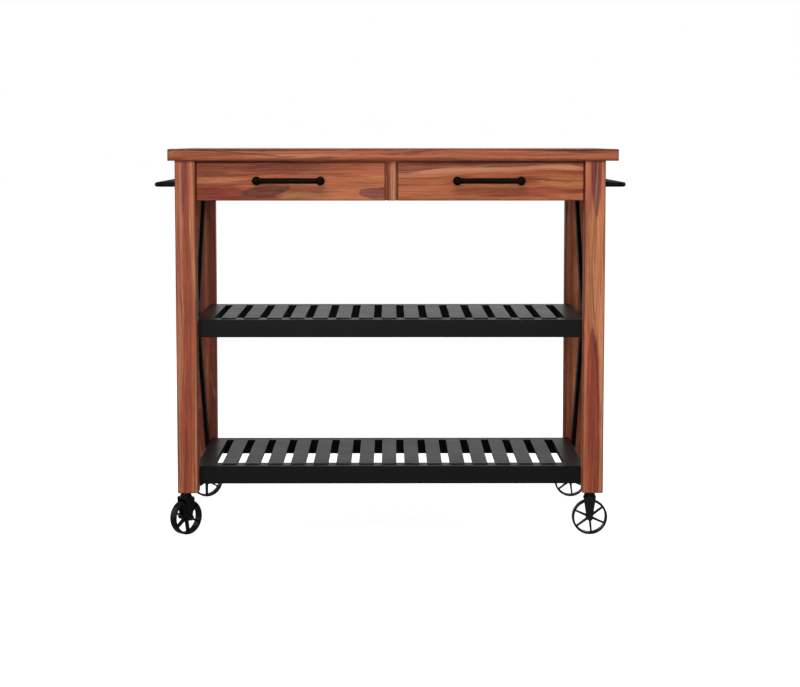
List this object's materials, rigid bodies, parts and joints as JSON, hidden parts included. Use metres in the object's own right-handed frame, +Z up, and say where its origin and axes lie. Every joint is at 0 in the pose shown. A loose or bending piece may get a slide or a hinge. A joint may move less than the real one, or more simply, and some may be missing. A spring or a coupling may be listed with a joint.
{
  "type": "kitchen trolley",
  "caption": "Hardwood kitchen trolley with a thick worktop, drawers over slatted black steel shelves, X-braced ends, towel rails and spoked swivel castors.",
  "frame": {"origin": "on the floor, in the middle of the overall box", "axes": "+X to the user's right along the worktop, +Y to the back, +Z up; the drawer pulls are on the -Y side"},
  "size_m": [1.117, 0.628, 0.92],
  "materials": {
    "hardwood": "reddish hardwood, satin lacquer, strong dark streaked grain",
    "inner_wood": "same hardwood, sanded and oiled, no lacquer",
    "black_steel": "black powder coat, satin, fine texture",
    "castor_black": "black painted casting, satin",
    "black_fasteners": "blackened steel",
    "plated_steel": "zinc-plated steel"
  },
  "bodies": {
    "frame": {"brace_bolts": "black_fasteners", "brace_left_falling": "black_steel", "brace_left_rising": "black_steel", "brace_nuts": "black_fasteners", "brace_pins": "plated_steel", "brace_right_falling": "black_steel", "brace_right_rising": "black_steel", "castor_sockets": "plated_steel", "centre_partition": "inner_wood", "centre_stile": "hardwood", "drawer_runners": "inner_wood", "front_top_rail": "inner_wood", "leg_front_left": "hardwood", "leg_front_right": "hardwood", "leg_rear_left": "hardwood", "leg_rear_right": "hardwood", "rear_apron": "hardwood", "shelf_frame_lower": "black_steel", "shelf_frame_middle": "black_steel", "shelf_screws": "black_fasteners", "shelf_slats_lower": "black_steel", "shelf_slats_middle": "black_steel", "side_apron_left": "hardwood", "side_apron_right": "hardwood", "slide_rail_left": "inner_wood", "slide_rail_right": "inner_wood", "top_brackets": "plated_steel", "top_screws": "plated_steel", "towel_rail_bolts": "black_fasteners", "towel_rail_left": "black_steel", "towel_rail_right": "black_steel", "worktop": "hardwood"},
    "drawer_left": {"drawer_front_left": "hardwood", "drawer_left_side_left": "inner_wood", "drawer_left_side_right": "inner_wood", "drawer_left_back": "inner_wood", "drawer_left_bottom": "inner_wood", "drawer_stop_left": "inner_wood", "pull_left": "black_steel", "pull_screws_left": "plated_steel"},
    "drawer_right": {"drawer_front_right": "hardwood", "drawer_right_side_left": "inner_wood", "drawer_right_side_right": "inner_wood", "drawer_right_back": "inner_wood", "drawer_right_bottom": "inner_wood", "drawer_stop_right": "inner_wood", "pull_right": "black_steel", "pull_screws_right": "plated_steel"},
    "castor_front_left": {"castor_fork_front_left": "castor_black", "axle_bolt_front_left": "black_fasteners"},
    "wheel_front_left": {"castor_wheel_front_left": "castor_black"},
    "castor_front_right": {"castor_fork_front_right": "castor_black", "axle_bolt_front_right": "black_fasteners"},
    "wheel_front_right": {"castor_wheel_front_right": "castor_black"},
    "castor_rear_left": {"castor_fork_rear_left": "castor_black", "axle_bolt_rear_left": "black_fasteners"},
    "wheel_rear_left": {"castor_wheel_rear_left": "castor_black"},
    "castor_rear_right": {"castor_fork_rear_right": "castor_black", "axle_bolt_rear_right": "black_fasteners"},
    "wheel_rear_right": {"castor_wheel_rear_right": "castor_black"}
  },
  "joints": [
    {"name": "drawer_left_slide", "type": "slide", "parent": "frame", "child": "drawer_left", "axis": [0, -1, 0], "range_m": [0, 0.37]},
    {"name": "drawer_right_slide", "type": "slide", "parent": "frame", "child": "drawer_right", "axis": [0, -1, 0], "range_m": [0, 0.37]},
    {"name": "castor_front_left_swivel", "type": "hinge", "parent": "frame", "child": "castor_front_left", "pos_m": [-0.49, -0.2555, 0.1], "axis": [0, 0, 1], "continuous": true},
    {"name": "wheel_front_left_spin", "type": "hinge", "parent": "castor_front_left", "child": "wheel_front_left", "pos_m": [-0.49, -0.2555, 0.042], "axis": [-0.7071, 0.7071, 0], "continuous": true},
    {"name": "castor_front_right_swivel", "type": "hinge", "parent": "frame", "child": "castor_front_right", "pos_m": [0.4775, -0.2555, 0.1], "axis": [0, 0, 1], "continuous": true},
    {"name": "wheel_front_right_spin", "type": "hinge", "parent": "castor_front_right", "child": "wheel_front_right", "pos_m": [0.4775, -0.2555, 0.042], "axis": [0, 1, 0], "continuous": true},
    {"name": "castor_rear_left_swivel", "type": "hinge", "parent": "frame", "child": "castor_rear_left", "pos_m": [-0.4875, 0.2835, 0.1], "axis": [0, 0, 1], "continuous": true},
    {"name": "wheel_rear_left_spin", "type": "hinge", "parent": "castor_rear_left", "child": "wheel_rear_left", "pos_m": [-0.4875, 0.2835, 0.042], "axis": [-0.4226, 0.9063, 0], "continuous": true},
    {"name": "castor_rear_right_swivel", "type": "hinge", "parent": "frame", "child": "castor_rear_right", "pos_m": [0.4775, 0.2835, 0.1], "axis": [0, 0, 1], "continuous": true},
    {"name": "wheel_rear_right_spin", "type": "hinge", "parent": "castor_rear_right", "child": "wheel_rear_right", "pos_m": [0.4775, 0.2835, 0.042], "axis": [0, 1, 0], "continuous": true}
  ]
}
